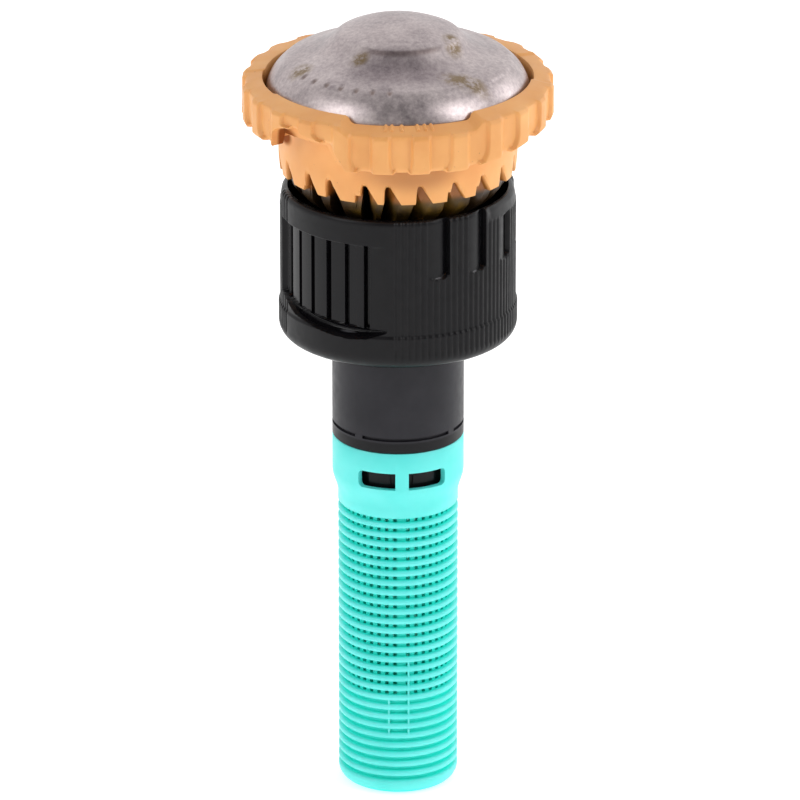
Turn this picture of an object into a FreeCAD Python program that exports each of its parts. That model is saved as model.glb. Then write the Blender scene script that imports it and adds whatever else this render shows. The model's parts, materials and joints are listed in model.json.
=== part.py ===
"""Rotary stream nozzle with an adjustable arc, and its inlet filter.

Millimetres. +Z is the axis of the nozzle, z = 0 is the flat bottom of the filter.
A heading is an angle about +Z, counted from -Y (the front) towards +X.
"""
import FreeCAD, Part
import math
import os

V = FreeCAD.Vector
UP = V(0, 0, 1)

# ---- driving dimensions -------------------------------------------------------------
CLOCKING = 4.5            # heading of the nozzle's symmetry plane
FIT = 0.05                # radial running clearance on the shaft

# filter
FILTER_R = 6.09           # rings
FILTER_BORE_R = 4.75
FILTER_GROOVE_R = 5.5
FILTER_SLOT_R = 5.62      # depth of the upright slots, cut from inside
FILTER_SLOTS = 20
RING_COUNT = 28
RING_PITCH = 1.066
FIRST_GROOVE_Z = 1.55
GROOVE_HEIGHT = 0.52
FILTER_FLOOR = 1.2
FOOT_R = 5.4
FILTER_TAPER = (31.5, 33.9)
FILTER_TOP_Z = 37.7
COLLAR_R = 6.66           # plain collar at the top of the filter
WINDOW_Z = (33.8, 35.6)
WINDOW_HEADINGS = ((-36.9, -2.3), (9.4, 45.4), (143.1, 177.7), (189.4, 225.4))

# inlet tube
NECK_R = 6.66             # the riser's bore slips over the neck, the lip and the filter
NECK_BORE_R = 5.2
RELIEF_R = 6.45           # neck behind the gasket
LIP_TOP_Z = 39.05
LIP_GROOVE = 0.35
SPIGOT_R = 5.5
SPIGOT_BORE_R = 4.7
SPIGOT_BOTTOM_Z = 32.6
BARB_R = 5.7              # snap barbs that sit in the filter's windows
GUIDE_R = 4.2             # inner edge of the rails that keep the throttle nut from turning
GUIDE_WIDTH = 0.9
GUIDE_Z = (41.6, 52.5)
SPUD_R = 5.9              # top of the tube, let into the base's web
SPUD_TOP_Z = 56.6

# nozzle base, with the riser thread inside it
BASE_R = 10.05
BASE_BOTTOM_Z = 49.1
SOCKET_TOP_Z = 55.9
BASE_TOP_Z = 57.4
THREAD_MAJOR_R = 8.0
THREAD_MINOR_R = 7.5
THREAD_PITCH = 25.4 / 27
BOSS_R = 2.3
BOSS_TOP_Z = 60.4
PORT_R = (2.45, 3.85)
GASKET = (6.6, 7.9, 0.8)  # inner radius, outer radius, thickness

# arc collar
COLLAR_OUT_R = 11.85
COLLAR_BAND_R = 12.0
COLLAR_BORE_R = 10.35
COLLAR_BOTTOM_Z = 48.8
COLLAR_TOP_Z = 64.34
COLLAR_BAND_TOP_Z = 52.2
SHELF_Z = (57.65, 58.0)
SHELF_R = 9.4
CHAMBER_R = 10.6          # bore above the shelf
PANEL_HEADINGS = (-77.0, -4.6)
PANEL_Z = (53.0, 61.3)
PANEL_DEPTH = 0.55
PANEL_BARS = 6
BAR_PITCH = 11.7
COVE_HEIGHT = 1.3
SLOT_HEADINGS = (21.0, 40.5, 61.0, 81.0)
SLOT_WIDTH = 2.1
SLOT_BOTTOM_Z = 58.3
SLOT_DEPTH = 0.5
SLOT_TILT = 12.0          # the floor falls towards the side of rising heading
KNURL_HEADINGS = (-1.0, 111.0)
KNURL_PITCH = 3.2
KNURL_R = 0.16

# arc valve
SLEEVE_R = 4.9
SLEEVE_BORE_R = 3.9
SLEEVE_TOP_Z = 60.6
SLEEVE_PLATE = 0.8
ARC_OPENING = 225.0
COVER_Z = (60.75, 61.5)
COVER_R = 4.6
O_RING = (6.5, 0.35)      # pitch radius, cord radius

# shaft and what rides on it
SHAFT_R = 1.5
SHAFT_TIP_R = 1.2
SHAFT_BOTTOM_Z = 41.6
SHAFT_TOP_Z = 75.2
CLIP_GROOVE_R = 1.15
TIP_GROOVE_R = 0.85
LOWER_CLIP_Z = (46.3, 46.85)
UPPER_CLIP_Z = (73.7, 74.25)
SEAT_WASHER_Z = (46.9, 47.5)
SPRING_TOP_Z = 55.85
SPRING_R = 3.35
SPRING_WIRE_R = 0.25
SPRING_TURNS = 6
NUT_Z = (42.3, 45.4)
NUT_R = 4.6
SEAT_Z = (38.7, 41.2)
SEAT_BORE_R = 3.0

# deflector
BAND_R = 15.2             # between the grip ribs
RIB_R = 15.6
RIB_COUNT = 24
RIB_FIRST = 9.0
RIB_ANGLE = 7.2
BAND_BOTTOM_Z = 70.5
BAND_BORE_R = 13.55
FLOOR_Z = 72.9
RECESS_TOP_Z = 75.1
BAND_TOP_Z = 75.75
LOBE_TOP_Z = 75.95
RECESSES = ((-19.5, 31.0), (160.5, 211.0))
LOBES = ((-64.0, -19.5), (31.0, 73.0), (116.0, 160.5), (211.0, 253.0))
NOTCH_HEADINGS = (-40.0, 140.0)
NOTCH_RISE = 3.0
NOTCH_R = 4.4
SKIRT_R = 11.95
SKIRT_TIP_R = 11.8
TIP_Z = 66.15
NOSE_Z = 61.8
FLUTE_HEADINGS = (-69.0, -50.5, -37.0, -18.0, -6.5, 9.0, 26.5, 43.0, 58.5) + tuple(
    74.0 + 15.5 * i for i in range(14))
FLUTE_SKEW = 14.0
FLUTE_OUTER = (1.7, 1.87)  # width and height where a flute leaves the skirt
FLUTE_INNER = (0.6, 0.8)  # and where it starts
FLUTE_START = (4.2, 62.7)  # radius and height of the start
CHAMBER = (6.4, 69.2, 76.4)  # brake chamber: radius, floor, top

# brake stack: bottom, top, outer radius
LIP_SEAL = (69.22, 69.9, 3.2)
RETAINER = (70.0, 70.9, 6.35)
PAD = (71.0, 71.9, 5.8)
DISK = (72.0, 72.8, 5.9)
WASHER = (73.0, 73.62, 2.8)
LID = (75.5, 76.4, 6.37)

# cap
CAP_R = 13.1
CAP_SHEET = 0.7
CAP_RIM_Z = 72.95
CAP_EDGE_Z = 74.9
CAP_ROLL = (11.9, 76.9)   # a point on the rolled edge
CAP_VALLEY = (9.4, 78.15)
CAP_KNOB_BASE = (7.8, 78.85)
CAP_KNOB_FLANK = (6.45, 79.95)
CAP_KNOB_EDGE = (5.8, 80.45)
CAP_TOP_Z = 81.75
POINTER_HEADINGS = (-5.0, -2.5, 1.5, 8.0, 11.0, 13.7)
POINTER_WIDTH = 0.35


# ---- helpers ------------------------------------------------------------------------
def revolve(start, *moves):
    """Turn a closed outline about Z. A move is (r, z), or ((r, z), (r, z)) for an arc."""
    edges = []
    here = V(start[0], 0, start[1])
    for move in moves + (start,):
        if isinstance(move[0], tuple):
            middle = V(move[0][0], 0, move[0][1])
            there = V(move[1][0], 0, move[1][1])
            edges.append(Part.Arc(here, middle, there).toShape())
        else:
            there = V(move[0], 0, move[1])
            edges.append(Part.LineSegment(here, there).toShape())
        here = there
    face = Part.Face(Part.Wire(edges))
    return face.revolve(V(0, 0, 0), UP, 360)


def ring(inner, outer, low, high):
    """A plain ring, or a disc where inner is 0."""
    body = Part.makeCylinder(outer, high - low, V(0, 0, low))
    if inner > 0:
        body = body.cut(Part.makeCylinder(inner, high - low, V(0, 0, low)))
    return body


def turned(shape, heading):
    """Turn a copy of a shape built on +X to the given heading."""
    copy = shape.copy()
    copy.rotate(V(0, 0, 0), UP, heading - 90)
    return copy


def sector(inner, outer, low, high, first, last):
    """A piece of a ring between two headings."""
    turn = last - first
    height = high - low
    body = Part.makeCylinder(outer, height, V(0, 0, low), UP, turn)
    body = body.cut(Part.makeCylinder(inner, height, V(0, 0, low)))
    return turned(body, first)


def block(x0, x1, width, low, high):
    """A box along +X, centred on the X axis."""
    return Part.makeBox(x1 - x0, width, high - low, V(x0, -width / 2, low))


def cut_all(body, tools):
    return body.cut(Part.makeCompound(tools))


def save(name, shape):
    """Write one sub-part, and stop if it isn't sound."""
    solids = shape.Solids
    if not solids or not all(s.isValid() for s in solids):
        raise SystemExit(name + ": not a valid solid")
    if len(solids) == 1:
        shape = solids[0]
    shape.exportStep("parts/" + name + ".step")
    print(name, "solids", len(solids), "volume", round(shape.Volume, 2))


# ---- inlet side ---------------------------------------------------------------------
def filter_screen():
    """Closed-bottomed tube: grooves outside cross slots inside, which opens the holes."""
    body = revolve(
        (0, 0), (FOOT_R, 0), ((5.9, 0.3), (FILTER_R, 0.95)), (FILTER_R, FILTER_TAPER[0]),
        (COLLAR_R, FILTER_TAPER[1]), (COLLAR_R, FILTER_TOP_Z), (SPIGOT_R + 0.1, FILTER_TOP_Z),
        (SPIGOT_R + 0.1, SPIGOT_BOTTOM_Z - 0.2), (FILTER_BORE_R, SPIGOT_BOTTOM_Z - 0.7),
        (FILTER_BORE_R, FILTER_FLOOR), (0, FILTER_FLOOR))
    grooves = []
    for row in range(RING_COUNT):
        middle = FIRST_GROOVE_Z + row * RING_PITCH
        low = middle - GROOVE_HEIGHT / 2
        grooves.append(ring(FILTER_GROOVE_R, FILTER_R + 1, low, low + GROOVE_HEIGHT))
    body = cut_all(body, grooves)
    slot_top = FIRST_GROOVE_Z + (RING_COUNT - 0.5) * RING_PITCH
    slot = block(FILTER_BORE_R - 1, FILTER_SLOT_R, 0.95, FILTER_FLOOR, slot_top)
    step = 360.0 / FILTER_SLOTS
    body = cut_all(body, [turned(slot, CLOCKING + (i + 0.5) * step)
                          for i in range(FILTER_SLOTS)])
    windows = [sector(SPIGOT_R, COLLAR_R + 1, WINDOW_Z[0], WINDOW_Z[1], first, last)
               for first, last in WINDOW_HEADINGS]
    return cut_all(body, windows)


def inlet_tube():
    """Neck, lip and snap spigot, with two rails inside for the throttle nut."""
    groove_z = LIP_TOP_Z + LIP_GROOVE
    relief_z = SOCKET_TOP_Z - GASKET[2]
    tube = revolve(
        (SPIGOT_BORE_R, SPIGOT_BOTTOM_Z), (SPIGOT_R - 0.3, SPIGOT_BOTTOM_Z),
        (SPIGOT_R, SPIGOT_BOTTOM_Z + 0.5), (SPIGOT_R, FILTER_TOP_Z), (NECK_R - 0.15, FILTER_TOP_Z),
        (NECK_R, FILTER_TOP_Z + 0.15), (NECK_R, LIP_TOP_Z), (NECK_R - 0.3, LIP_TOP_Z),
        (NECK_R - 0.3, groove_z), (NECK_R, groove_z), (NECK_R, relief_z),
        (RELIEF_R, relief_z), (RELIEF_R, SOCKET_TOP_Z), (SPUD_R, SOCKET_TOP_Z),
        (SPUD_R, SPUD_TOP_Z), (NECK_BORE_R, SPUD_TOP_Z),
        (NECK_BORE_R, SEAT_Z[0]), (SPIGOT_BORE_R, SEAT_Z[0]))
    bridge = block(NECK_R - 0.5, NECK_R, 0.9, LIP_TOP_Z, groove_z)
    rail = block(GUIDE_R, NECK_BORE_R + 0.4, GUIDE_WIDTH, GUIDE_Z[0], GUIDE_Z[1])
    extras = [turned(bridge, CLOCKING + 4 + 45 + 90 * i) for i in range(4)]
    extras += [turned(rail, CLOCKING + 180 * i) for i in range(2)]
    for first, last in WINDOW_HEADINGS:
        barb = sector(SPIGOT_R - 0.3, BARB_R, WINDOW_Z[0] + 0.3, WINDOW_Z[1] - 0.3,
                      first + 6, last - 6)
        extras.append(barb)
    return tube.fuse(extras)


def throttle_seat():
    return revolve(
        (SEAT_BORE_R, SEAT_Z[0]), (NECK_BORE_R, SEAT_Z[0]), (NECK_BORE_R, SEAT_Z[1]),
        (SEAT_BORE_R + 0.9, SEAT_Z[1]), (SEAT_BORE_R, SEAT_Z[1] - 0.9))


def throttle_nut():
    """Nut on the shaft's thread, with a conical nose and two slots for the rails."""
    body = revolve(
        (SHAFT_R + FIT, NUT_Z[0]), (2.4, NUT_Z[0]), (3.4, NUT_Z[0] + 0.9),
        (NUT_R, NUT_Z[0] + 0.9), (NUT_R, NUT_Z[1]), (SHAFT_R + FIT, NUT_Z[1]))
    slot = block(GUIDE_R - 0.15, NUT_R + 1, GUIDE_WIDTH + 0.3, NUT_Z[0], NUT_Z[1])
    flat = block(3.7, NUT_R + 1, 3.0, NUT_Z[0], NUT_Z[1])
    tools = [turned(slot, CLOCKING + 180 * i) for i in range(2)]
    tools += [turned(flat, CLOCKING + 90 + 180 * i) for i in range(2)]
    return cut_all(body, tools)


def spring_seat_washer():
    return ring(SHAFT_R + FIT, 4.0, SEAT_WASHER_Z[0], SEAT_WASHER_Z[1])


def clip(groove_r, outer, z):
    """Retaining clip: a ring with an open mouth."""
    body = ring(groove_r + 0.02, outer, z[0], z[1])
    mouth = block(0, outer + 1, groove_r * 1.7, z[0], z[1])
    return body.cut(turned(mouth, 30))


def compression_spring():
    """Open coil, with its wire swept along a helix between the two seats."""
    low = SEAT_WASHER_Z[1] + SPRING_WIRE_R
    high = SPRING_TOP_Z - SPRING_WIRE_R
    helix = Part.makeHelix((high - low) / SPRING_TURNS, high - low, SPRING_R)
    helix.translate(V(0, 0, low))
    wire = Part.Wire(helix.Edges)
    circle = Part.Circle(V(SPRING_R, 0, low), V(0, 1, 0), SPRING_WIRE_R)
    section = Part.Wire([circle.toShape()])
    return wire.makePipeShell([section], True, True)


# ---- base and arc valve -------------------------------------------------------------
def nozzle_base():
    """Threaded socket for the riser, a web with water ports, and the shaft boss."""
    body = revolve(
        (THREAD_MINOR_R + 0.5, BASE_BOTTOM_Z), (BASE_R, BASE_BOTTOM_Z), (BASE_R, BASE_TOP_Z),
        (BOSS_R, BASE_TOP_Z), (BOSS_R, BOSS_TOP_Z), (SHAFT_R + FIT, BOSS_TOP_Z),
        (SHAFT_R + FIT, SOCKET_TOP_Z), (NECK_BORE_R, SOCKET_TOP_Z),
        (NECK_BORE_R, SPUD_TOP_Z), (SPUD_R, SPUD_TOP_Z), (SPUD_R, SOCKET_TOP_Z),
        (THREAD_MAJOR_R, SOCKET_TOP_Z), (THREAD_MAJOR_R, SOCKET_TOP_Z - GASKET[2]),
        (THREAD_MINOR_R, SOCKET_TOP_Z - GASKET[2]), (THREAD_MINOR_R, BASE_BOTTOM_Z + 0.5))
    tools = [thread_groove(BASE_BOTTOM_Z + 0.9 + i * THREAD_PITCH) for i in range(5)]
    for i in range(4):
        first = CLOCKING + 90 * i + 12
        tools.append(sector(PORT_R[0], PORT_R[1], SOCKET_TOP_Z - 1, BASE_TOP_Z + 1,
                            first, first + 66))
    pitch_r, cord_r = O_RING
    tools.append(ring(pitch_r - cord_r - 0.1, pitch_r + cord_r + 0.1,
                      BASE_TOP_Z - 0.15, BASE_TOP_Z))
    return cut_all(body, tools)


def thread_groove(z):
    """One groove of the riser thread."""
    half = THREAD_PITCH * 0.42
    crest = THREAD_PITCH * 0.08
    return revolve(
        (THREAD_MINOR_R - 0.3, z - half), (THREAD_MINOR_R, z - half),
        (THREAD_MAJOR_R, z - crest), (THREAD_MAJOR_R, z + crest),
        (THREAD_MINOR_R, z + half), (THREAD_MINOR_R - 0.3, z + half))


def riser_gasket():
    inner, outer, thickness = GASKET
    return ring(inner, outer, SOCKET_TOP_Z - thickness, SOCKET_TOP_Z)


def sleeve_o_ring():
    pitch_r, cord_r = O_RING
    return Part.makeTorus(pitch_r, cord_r, V(0, 0, BASE_TOP_Z - 0.15 + cord_r))


def arc_collar():
    """Turning collar with louvred panels, knurled zones and rim slots, twice round."""
    chamfer_z = COLLAR_TOP_Z - 1.0
    body = revolve(
        (COLLAR_BORE_R, COLLAR_BOTTOM_Z), (COLLAR_BAND_R - 0.8, COLLAR_BOTTOM_Z),
        ((COLLAR_BAND_R - 0.2, COLLAR_BOTTOM_Z + 0.6), (COLLAR_BAND_R, COLLAR_BOTTOM_Z + 1.5)),
        (COLLAR_BAND_R, COLLAR_BAND_TOP_Z), (COLLAR_OUT_R, COLLAR_BAND_TOP_Z + 0.2),
        (COLLAR_OUT_R, chamfer_z), (COLLAR_OUT_R - 0.2, COLLAR_TOP_Z),
        (COLLAR_OUT_R - 0.7, COLLAR_TOP_Z), (CHAMBER_R, chamfer_z - 0.4),
        (CHAMBER_R, SHELF_Z[1]), (SHELF_R, SHELF_Z[1]), (SHELF_R, SHELF_Z[0]),
        (COLLAR_BORE_R, SHELF_Z[0]))
    tools = []
    for half_turn in (0, 180):
        tools += panel_cuts(half_turn)
        tools += rim_slots(half_turn)
        tools += knurl_cuts(half_turn)
    return cut_all(body, tools)


def panel_cuts(half_turn):
    """One louvred panel: a shallow recess, upright grooves in it, and a cove below."""
    first = PANEL_HEADINGS[0] + half_turn
    last = PANEL_HEADINGS[1] + half_turn
    floor_r = COLLAR_OUT_R - PANEL_DEPTH
    low, high = PANEL_Z
    cuts = [sector(floor_r, COLLAR_BAND_R + 1, low + COVE_HEIGHT, high, first, last)]
    cuts.append(sector(floor_r - 0.45, COLLAR_BAND_R + 1, low, low + COVE_HEIGHT, first, last))
    groove = block(floor_r - 0.35, COLLAR_BAND_R + 1, 0.35, low + COVE_HEIGHT / 2, high)
    for i in range(1, PANEL_BARS + 1):
        cuts.append(turned(groove, last - i * BAR_PITCH))
    return cuts


def rim_slots(half_turn):
    """Shallow slots with round ends and sloping floors, open at the rim."""
    cuts = []
    floor_r = COLLAR_OUT_R - SLOT_DEPTH
    end_z = SLOT_BOTTOM_Z + SLOT_WIDTH / 2
    for heading in SLOT_HEADINGS:
        straight = block(floor_r, COLLAR_OUT_R + 1, SLOT_WIDTH, end_z, COLLAR_TOP_Z + 1)
        end = Part.makeCylinder(SLOT_WIDTH / 2, COLLAR_OUT_R + 1 - floor_r,
                                V(floor_r, 0, end_z), V(1, 0, 0))
        slot = straight.fuse(end)
        slot.rotate(V(floor_r, 0, 0), UP, SLOT_TILT)
        cuts.append(turned(slot, heading + half_turn))
    return cuts


def knurl_cuts(half_turn):
    """Fine upright grooves, in the wall and in the slightly larger band below it."""
    low = COLLAR_BOTTOM_Z + 1.2
    high = COLLAR_BAND_TOP_Z + 0.2
    wall_groove = Part.makeCylinder(KNURL_R, COLLAR_TOP_Z - low, V(COLLAR_OUT_R, 0, low))
    band_groove = Part.makeCylinder(KNURL_R, high - low, V(COLLAR_BAND_R, 0, low))
    groove = wall_groove.fuse(band_groove)
    count = int((KNURL_HEADINGS[1] - KNURL_HEADINGS[0]) / KNURL_PITCH)
    return [turned(groove, KNURL_HEADINGS[0] + half_turn + i * KNURL_PITCH)
            for i in range(count + 1)]


def valve_sleeve():
    """Turning half of the arc slot: a plate on the collar's shelf, and a cut-away tube."""
    plate_z = SHELF_Z[1]
    body = revolve(
        (SLEEVE_BORE_R, plate_z), (CHAMBER_R, plate_z), (CHAMBER_R, plate_z + SLEEVE_PLATE),
        (SLEEVE_R, plate_z + SLEEVE_PLATE), (SLEEVE_R, SLEEVE_TOP_Z), (SLEEVE_BORE_R, SLEEVE_TOP_Z))
    opening = sector(SLEEVE_BORE_R - 0.5, SLEEVE_R + 0.5, SLEEVE_TOP_Z - 0.9, SLEEVE_TOP_Z + 1,
                     -ARC_OPENING / 2, ARC_OPENING / 2)
    return body.cut(opening)


def nozzle_cover():
    """Fixed half of the arc slot, on top of the boss."""
    low, high = COVER_Z
    return revolve(
        (SHAFT_R + 0.15, BOSS_TOP_Z), (BOSS_R, BOSS_TOP_Z), (BOSS_R, low),
        (COVER_R, low), ((COVER_R - 0.1, low + 0.4), (COVER_R - 0.5, high)),
        (SHAFT_R + 0.15, high))


# ---- shaft and brake ----------------------------------------------------------------
def shaft():
    """Stepped steel shaft with two clip grooves and a hexagon for the friction disk."""
    low_clip, high_clip = LOWER_CLIP_Z, UPPER_CLIP_Z
    body = revolve(
        (0, SHAFT_BOTTOM_Z), (SHAFT_R - 0.3, SHAFT_BOTTOM_Z), (SHAFT_R, SHAFT_BOTTOM_Z + 0.3),
        (SHAFT_R, low_clip[0]), (CLIP_GROOVE_R, low_clip[0]), (CLIP_GROOVE_R, low_clip[1]),
        (SHAFT_R, low_clip[1]), (SHAFT_R, DISK[0] - 0.1), (SHAFT_TIP_R, DISK[0] - 0.1),
        (SHAFT_TIP_R, high_clip[0]), (TIP_GROOVE_R, high_clip[0]), (TIP_GROOVE_R, high_clip[1]),
        (SHAFT_TIP_R, high_clip[1]), (SHAFT_TIP_R, SHAFT_TOP_Z - 0.2),
        (SHAFT_TIP_R - 0.2, SHAFT_TOP_Z), (0, SHAFT_TOP_Z))
    return body.fuse(hexagon(SHAFT_R, DISK[0] - 0.1, DISK[1]))


def hexagon(corner_r, low, high):
    points = [V(corner_r * math.cos(math.radians(60 * i)),
                corner_r * math.sin(math.radians(60 * i)), low) for i in range(7)]
    return Part.Face(Part.makePolygon(points)).extrude(V(0, 0, high - low))


def friction_disk():
    low, high, outer = DISK
    return ring(0, outer, low, high).cut(hexagon(SHAFT_R + 0.03, low, high))


def brake_pad():
    """Soft ring with a raised rib that rubs on the friction disk."""
    low, high, outer = PAD
    return revolve(
        (1.9, low), (outer, low), (outer, high - 0.3), (5.0, high - 0.3),
        ((4.6, high), (4.2, high - 0.3)), (1.9, high - 0.3))


def seal_retainer():
    low, high, outer = RETAINER
    plate = revolve(
        (1.8, low), (outer, low), (outer, high), (outer - 0.4, high),
        (outer - 0.4, low + 0.5), (2.6, low + 0.5), (2.6, high - 0.2), (1.8, high - 0.2))
    hole = Part.makeCylinder(0.45, 2, V(4.4, 0, low - 0.5))
    return cut_all(plate, [turned(hole, 60 * i) for i in range(6)])


def lip_seal():
    """Rubber washer with a lip that leans on the shaft."""
    low, high, outer = LIP_SEAL
    return revolve(
        (1.62, low), (2.1, low), (2.5, low + 0.25), (outer, low + 0.25), (outer, high),
        (1.95, high), (1.95, low + 0.4))


def bearing_washer():
    low, high, outer = WASHER
    return ring(SHAFT_TIP_R + FIT, outer, low, high)


def cavity_lid():
    low, high, outer = LID
    return revolve(
        (0, low), (outer - 0.6, low), (outer - 0.6, low - 0.8), (outer, low - 0.8),
        (outer, high), (0, high))


# ---- deflector and cap --------------------------------------------------------------
def deflector():
    """One moulding: grip band, toothed skirt, fluted cone below, brake chamber above."""
    bore = SHAFT_R + FIT
    chamber_r, chamber_floor, chamber_top = CHAMBER
    body = revolve(
        (bore, NOSE_Z), (2.4, NOSE_Z), (4.6, NOSE_Z + 0.9), (10.6, TIP_Z - 0.45),
        (11.0, TIP_Z), (SKIRT_TIP_R, TIP_Z), (SKIRT_R, TIP_Z + 1.6), (SKIRT_R, BAND_BOTTOM_Z),
        (BAND_R - 0.6, BAND_BOTTOM_Z), (BAND_R, BAND_BOTTOM_Z + 0.6), (BAND_R, RECESS_TOP_Z),
        (BAND_BORE_R, RECESS_TOP_Z), (BAND_BORE_R, FLOOR_Z), (8.0, FLOOR_Z),
        (7.4, chamber_top), (chamber_r, chamber_top), (chamber_r, chamber_floor),
        (bore, chamber_floor))
    body = body.fuse(band_extras())
    return cut_all(body, flute_cuts() + finger_notches())


def band_extras():
    """Grip ribs round the band, and the higher stretches of its rim."""
    extras = []
    rib_root = BAND_R - 0.6
    for i in range(RIB_COUNT):
        middle = RIB_FIRST + i * 360.0 / RIB_COUNT
        top = rim_height(middle)
        extras.append(sector(rib_root, RIB_R, BAND_BOTTOM_Z, top - 0.25,
                             middle - RIB_ANGLE / 2, middle + RIB_ANGLE / 2))
    for first, last in LOBES:
        extras.append(sector(BAND_BORE_R, BAND_R, FLOOR_Z, LOBE_TOP_Z, first, last))
    for first, last in ((73.0, 116.0), (253.0, 296.0)):
        extras.append(sector(BAND_BORE_R, BAND_R, FLOOR_Z, BAND_TOP_Z, first, last))
    pointer = block(BAND_BORE_R + 0.05, BAND_BORE_R + 0.75, POINTER_WIDTH,
                    RECESS_TOP_Z - 0.2, RECESS_TOP_Z + 0.3)
    extras += [turned(pointer, heading) for heading in POINTER_HEADINGS]
    return extras


def rim_height(heading):
    """Height of the band's rim at a heading."""
    for first, last in RECESSES:
        if first <= (heading - first) % 360 + first <= last:
            return RECESS_TOP_Z
    for first, last in LOBES:
        if first <= (heading - first) % 360 + first <= last:
            return LOBE_TOP_Z
    return BAND_TOP_Z


def flute_section(x, z, size):
    """Section of a flute across the X axis: upright on one side, sloped on the other."""
    width, height = size
    outline = ((0, -4), (0, 0.8), (0.09, 1), (0.3, 1), (0.42, 0.8), (1, 0), (1, -4), (0, -4))
    return Part.makePolygon([V(x, y * width, z + up * height) for y, up in outline])


def flute_cuts():
    """Stream flutes from the nose of the cone out through the skirt, set off the radius."""
    start_r, start_z = FLUTE_START
    flute = Part.makeLoft([flute_section(start_r, start_z, FLUTE_INNER),
                           flute_section(SKIRT_R + 0.6, TIP_Z, FLUTE_OUTER)], True)
    flute.rotate(V(SKIRT_R, 0, 0), UP, FLUTE_SKEW)
    return [turned(flute, heading) for heading in FLUTE_HEADINGS]


def finger_notches():
    """An arched notch in the band's lower edge, on both sides."""
    cuts = []
    centre_z = BAND_BOTTOM_Z + NOTCH_RISE - NOTCH_R
    arch = Part.makeCylinder(NOTCH_R, RIB_R - SKIRT_R + 2, V(SKIRT_R - 1, 0, centre_z), V(1, 0, 0))
    skirt = ring(0, SKIRT_R, TIP_Z, LOBE_TOP_Z)
    band_floor = ring(0, BAND_BORE_R + 0.4, FLOOR_Z - 0.7, LOBE_TOP_Z)
    arch = arch.cut(skirt).cut(band_floor)
    for heading in NOTCH_HEADINGS:
        cuts.append(turned(arch, heading))
    return cuts


def top_cap():
    """Stamped cap: rolled edge, shallow valley, round knob with a domed top."""
    t = CAP_SHEET
    valley_r, valley_z = CAP_VALLEY
    base_r, base_z = CAP_KNOB_BASE
    flank_r, flank_z = CAP_KNOB_FLANK
    edge_r, edge_z = CAP_KNOB_EDGE
    rise = CAP_TOP_Z - edge_z
    dome_r = (edge_r ** 2 + rise ** 2) / (2 * rise)
    centre_z = CAP_TOP_Z - dome_r

    def on_dome(r, radius):
        return (r, centre_z + math.sqrt(radius ** 2 - r ** 2))

    inner_r = edge_r - 0.45
    return revolve(
        (0, CAP_TOP_Z), (on_dome(edge_r / 2, dome_r), on_dome(edge_r, dome_r)),
        (flank_r, flank_z), (base_r, base_z), (valley_r, valley_z),
        (CAP_ROLL, (CAP_R, CAP_EDGE_Z)),
        (CAP_R, CAP_RIM_Z), (CAP_R - t, CAP_RIM_Z), (CAP_R - t, CAP_EDGE_Z - 0.1),
        ((CAP_ROLL[0] - 0.5, CAP_ROLL[1] - 0.6), (valley_r - 0.15, valley_z - t)),
        (base_r - 0.2, base_z - t), (flank_r - 0.3, flank_z - t), on_dome(inner_r, dome_r - t),
        (on_dome(inner_r / 2, dome_r - t), (0, CAP_TOP_Z - t)))


PARTS = {
    "filter_screen": filter_screen,
    "inlet_tube": inlet_tube,
    "throttle_seat": throttle_seat,
    "throttle_nut": throttle_nut,
    "spring_seat_washer": spring_seat_washer,
    "lower_shaft_clip": lambda: clip(CLIP_GROOVE_R, 2.9, LOWER_CLIP_Z),
    "compression_spring": compression_spring,
    "nozzle_base": nozzle_base,
    "riser_gasket": riser_gasket,
    "sleeve_o_ring": sleeve_o_ring,
    "arc_collar": arc_collar,
    "valve_sleeve": valve_sleeve,
    "nozzle_cover": nozzle_cover,
    "shaft": shaft,
    "friction_disk": friction_disk,
    "brake_pad": brake_pad,
    "seal_retainer": seal_retainer,
    "lip_seal": lip_seal,
    "bearing_washer": bearing_washer,
    "upper_shaft_clip": lambda: clip(TIP_GROOVE_R, 2.3, UPPER_CLIP_Z),
    "cavity_lid": cavity_lid,
    "deflector": deflector,
    "top_cap": top_cap,
}

os.makedirs("parts", exist_ok=True)
for part_name, make in PARTS.items():
    save(part_name, make())
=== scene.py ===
"""Studio scene of the rotary stream nozzle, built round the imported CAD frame.

Shapes are worked out in millimetres and written to the meshes in metres. A heading is an
angle in degrees about +Z, counted from -Y (the front) towards +X, as in the part's source.
"""
import json
import math

import bmesh
import bpy
import numpy as np
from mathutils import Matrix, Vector


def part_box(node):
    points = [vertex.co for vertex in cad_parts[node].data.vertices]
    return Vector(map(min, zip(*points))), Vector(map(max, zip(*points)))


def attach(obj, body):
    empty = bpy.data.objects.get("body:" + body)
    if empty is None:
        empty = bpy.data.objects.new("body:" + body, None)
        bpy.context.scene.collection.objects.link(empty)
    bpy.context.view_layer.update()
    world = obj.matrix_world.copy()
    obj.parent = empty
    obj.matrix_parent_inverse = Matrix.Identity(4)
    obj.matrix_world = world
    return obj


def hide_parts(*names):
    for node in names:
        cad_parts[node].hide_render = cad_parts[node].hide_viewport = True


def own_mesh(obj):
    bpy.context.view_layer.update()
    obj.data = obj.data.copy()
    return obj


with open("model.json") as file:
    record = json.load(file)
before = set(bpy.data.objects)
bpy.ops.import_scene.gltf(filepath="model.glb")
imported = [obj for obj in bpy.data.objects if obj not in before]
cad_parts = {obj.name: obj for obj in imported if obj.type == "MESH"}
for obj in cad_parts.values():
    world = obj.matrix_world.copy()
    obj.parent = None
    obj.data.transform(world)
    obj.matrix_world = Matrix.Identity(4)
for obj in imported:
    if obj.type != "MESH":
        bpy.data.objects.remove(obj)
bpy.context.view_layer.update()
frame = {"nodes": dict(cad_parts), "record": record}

MM = 0.001


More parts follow.
